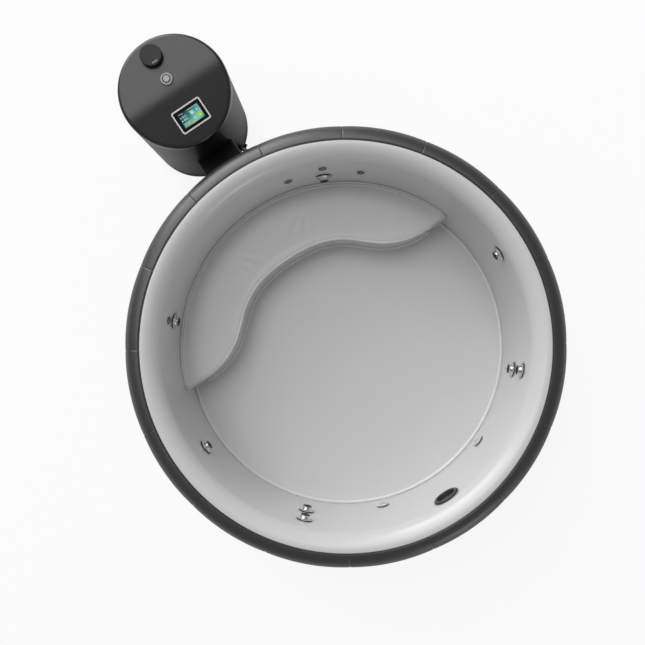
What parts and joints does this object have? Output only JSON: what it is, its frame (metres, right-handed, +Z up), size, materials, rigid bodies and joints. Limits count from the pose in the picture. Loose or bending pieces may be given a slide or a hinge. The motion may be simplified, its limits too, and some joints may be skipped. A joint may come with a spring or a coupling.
{
  "type": "hot tub",
  "caption": "Round soft-sided hot tub with a wave-fronted bench, aimable wall jets and a separate drum-shaped pump and heater unit joined to it by a bridge cover.",
  "frame": {"origin": "on the tub's axis, at the ground", "axes": "+Z up, +Y from the tub towards the pump unit, +X to the right of that"},
  "size_m": [2, 2.64, 0.6745],
  "materials": {
    "sheet": "matt woven ground sheet",
    "foam": "closed-cell foam, hidden",
    "liner": "pale satin coated liner",
    "welt": "dark satin piping",
    "leatherette": "charcoal pebbled leatherette, satin",
    "fitting": "moulded black plastic",
    "seal": "matt black rubber",
    "injector": "pale moulded plastic",
    "intake": "dark grey moulded plastic",
    "filter_paper": "pleated filter paper",
    "pipe": "white rigid pipe",
    "hose": "flexible hose",
    "casing": "charcoal moulded plastic, fine grain",
    "silver_trim": "satin silver plastic",
    "screen_glass": "gloss touch glass",
    "circuit": "boxed electronics",
    "spring_steel": "plain spring steel",
    "knob": "dark grey moulded plastic",
    "motor_paint": "painted housing",
    "stainless": "stainless tube",
    "handle": "moulded black plastic",
    "chrome_trim": "bright chrome"
  },
  "bodies": {
    "tub": {"ground_sheet": "sheet", "floor_foam_pad": "foam", "wall_foam_core": "foam", "liner": "liner", "bench_seat": "liner", "liner_beads": "liner", "rim_welt": "welt", "jacket_panels": "leatherette", "wall_fitting_bodies": "fitting", "fitting_gaskets": "seal", "fitting_locknuts": "fitting", "air_injectors": "injector", "suction_covers": "injector", "filter_housing": "intake", "filter_cartridge": "filter_paper", "water_ring_pipe": "pipe", "suction_ring_pipe": "pipe", "air_ring_pipe": "pipe", "fitting_hoses": "hose", "pump_base": "casing", "pump_feet": "seal", "pump_housing": "casing", "pump_top_cover": "casing", "display_frame": "silver_trim", "display_glass": "screen_glass", "display_board": "circuit", "button_bezel": "silver_trim", "button_spring": "spring_steel", "air_valve": "fitting", "motor": "motor_paint", "motor_cradle": "fitting", "volute": "motor_paint", "heater_tube": "stainless", "pump_pipes": "pipe", "control_box": "circuit", "bridge_cover": "casing", "hose_unions": "fitting", "drain_tap": "fitting", "cable_gland": "seal"},
    "air_knob": {"air_knob": "knob"},
    "power_button": {"power_button": "silver_trim"},
    "filter_cap": {"filter_cap": "intake"},
    "drain_handle": {"drain_handle": "handle"},
    "impeller": {"impeller": "fitting"},
    "jet_face_1": {"jet_face_1": "chrome_trim"},
    "jet_nozzle_1": {"jet_nozzle_1": "chrome_trim"},
    "jet_face_2": {"jet_face_2": "chrome_trim"},
    "jet_nozzle_2": {"jet_nozzle_2": "chrome_trim"},
    "jet_face_3": {"jet_face_3": "chrome_trim"},
    "jet_nozzle_3": {"jet_nozzle_3": "chrome_trim"},
    "jet_face_4": {"jet_face_4": "chrome_trim"},
    "jet_nozzle_4": {"jet_nozzle_4": "chrome_trim"},
    "jet_face_5": {"jet_face_5": "chrome_trim"},
    "jet_nozzle_5": {"jet_nozzle_5": "chrome_trim"},
    "jet_face_6": {"jet_face_6": "chrome_trim"},
    "jet_nozzle_6": {"jet_nozzle_6": "chrome_trim"},
    "jet_face_7": {"jet_face_7": "chrome_trim"},
    "jet_nozzle_7": {"jet_nozzle_7": "chrome_trim"},
    "jet_face_8": {"jet_face_8": "chrome_trim"},
    "jet_nozzle_8": {"jet_nozzle_8": "chrome_trim"}
  },
  "joints": [
    {"name": "jet_face_1_turn", "type": "hinge", "parent": "tub", "child": "jet_face_1", "pos_m": [0.36651, 0.74158, 0.33607], "axis": [-0.4421, -0.8946, 0.0645], "range_deg": [0, 90]},
    {"name": "jet_nozzle_1_tilt", "type": "hinge", "parent": "jet_face_1", "child": "jet_nozzle_1", "pos_m": [0.36651, 0.74158, 0.33607], "axis": [0.8965, -0.4431, 0], "range_deg": [-12, 12]},
    {"name": "jet_face_2_turn", "type": "hinge", "parent": "tub", "child": "jet_face_2", "pos_m": [-0.61336, 0.55812, 0.36807], "axis": [0.7381, -0.6716, 0.0645], "range_deg": [0, 90]},
    {"name": "jet_nozzle_2_tilt", "type": "hinge", "parent": "jet_face_2", "child": "jet_nozzle_2", "pos_m": [-0.61336, 0.55812, 0.36807], "axis": [0.673, 0.7396, 0], "range_deg": [-12, 12]},
    {"name": "jet_face_3_turn", "type": "hinge", "parent": "tub", "child": "jet_face_3", "pos_m": [0.83444, -0.03643, 0.46007], "axis": [-0.997, 0.0435, 0.0645], "range_deg": [0, 90]},
    {"name": "jet_nozzle_3_tilt", "type": "hinge", "parent": "jet_face_3", "child": "jet_nozzle_3", "pos_m": [0.83444, -0.03643, 0.46007], "axis": [-0.0436, -0.999, 0], "range_deg": [-12, 12]},
    {"name": "jet_face_4_turn", "type": "hinge", "parent": "tub", "child": "jet_face_4", "pos_m": [-0.82758, -0.02601, 0.34807], "axis": [0.9974, 0.0313, 0.0645], "range_deg": [0, 90]},
    {"name": "jet_nozzle_4_tilt", "type": "hinge", "parent": "jet_face_4", "child": "jet_nozzle_4", "pos_m": [-0.82758, -0.02601, 0.34807], "axis": [-0.0314, 0.9995, 0], "range_deg": [-12, 12]},
    {"name": "jet_face_5_turn", "type": "hinge", "parent": "tub", "child": "jet_face_5", "pos_m": [0.61659, -0.54551, 0.27507], "axis": [-0.7474, 0.6612, 0.0645], "range_deg": [0, 90]},
    {"name": "jet_nozzle_5_tilt", "type": "hinge", "parent": "jet_face_5", "child": "jet_nozzle_5", "pos_m": [0.61659, -0.54551, 0.27507], "axis": [-0.6626, -0.749, 0], "range_deg": [-12, 12]},
    {"name": "jet_face_6_turn", "type": "hinge", "parent": "tub", "child": "jet_face_6", "pos_m": [0.624, -0.55207, 0.42807], "axis": [-0.7474, 0.6612, 0.0645], "range_deg": [0, 90]},
    {"name": "jet_nozzle_6_tilt", "type": "hinge", "parent": "jet_face_6", "child": "jet_nozzle_6", "pos_m": [0.624, -0.55207, 0.42807], "axis": [-0.6626, -0.749, 0], "range_deg": [-12, 12]},
    {"name": "jet_face_7_turn", "type": "hinge", "parent": "tub", "child": "jet_face_7", "pos_m": [-0.606, -0.55725, 0.27507], "axis": [0.7346, 0.6755, 0.0645], "range_deg": [0, 90]},
    {"name": "jet_nozzle_7_tilt", "type": "hinge", "parent": "jet_face_7", "child": "jet_nozzle_7", "pos_m": [-0.606, -0.55725, 0.27507], "axis": [-0.6769, 0.7361, 0], "range_deg": [-12, 12]},
    {"name": "jet_face_8_turn", "type": "hinge", "parent": "tub", "child": "jet_face_8", "pos_m": [-0.61329, -0.56395, 0.42807], "axis": [0.7346, 0.6755, 0.0645], "range_deg": [0, 90]},
    {"name": "jet_nozzle_8_tilt", "type": "hinge", "parent": "jet_face_8", "child": "jet_nozzle_8", "pos_m": [-0.61329, -0.56395, 0.42807], "axis": [-0.6769, 0.7361, 0], "range_deg": [-12, 12]},
    {"name": "filter_cap_twist", "type": "hinge", "parent": "tub", "child": "filter_cap", "pos_m": [0, -0.84746, 0.47751], "axis": [0, 0.9979, 0.0645], "range_deg": [0, 45]},
    {"name": "air_knob_turn", "type": "hinge", "parent": "tub", "child": "air_knob", "pos_m": [0, 1.5415, 0.65], "axis": [0, 0, 1], "range_deg": [-90, 90]},
    {"name": "power_button_press", "type": "slide", "parent": "tub", "child": "power_button", "axis": [0, 0, -1], "range_m": [0, 0.003], "stiffness_N_per_m": 800, "deforming": ["button_spring"]},
    {"name": "drain_handle_turn", "type": "hinge", "parent": "tub", "child": "drain_handle", "pos_m": [0.12737, 1.13046, 0.098], "axis": [0, 0, 1], "range_deg": [0, 90]},
    {"name": "impeller_spin", "type": "hinge", "parent": "tub", "child": "impeller", "pos_m": [-0.0597, 1.24, 0.16055], "axis": [0, 1, 0], "continuous": true}
  ]
}
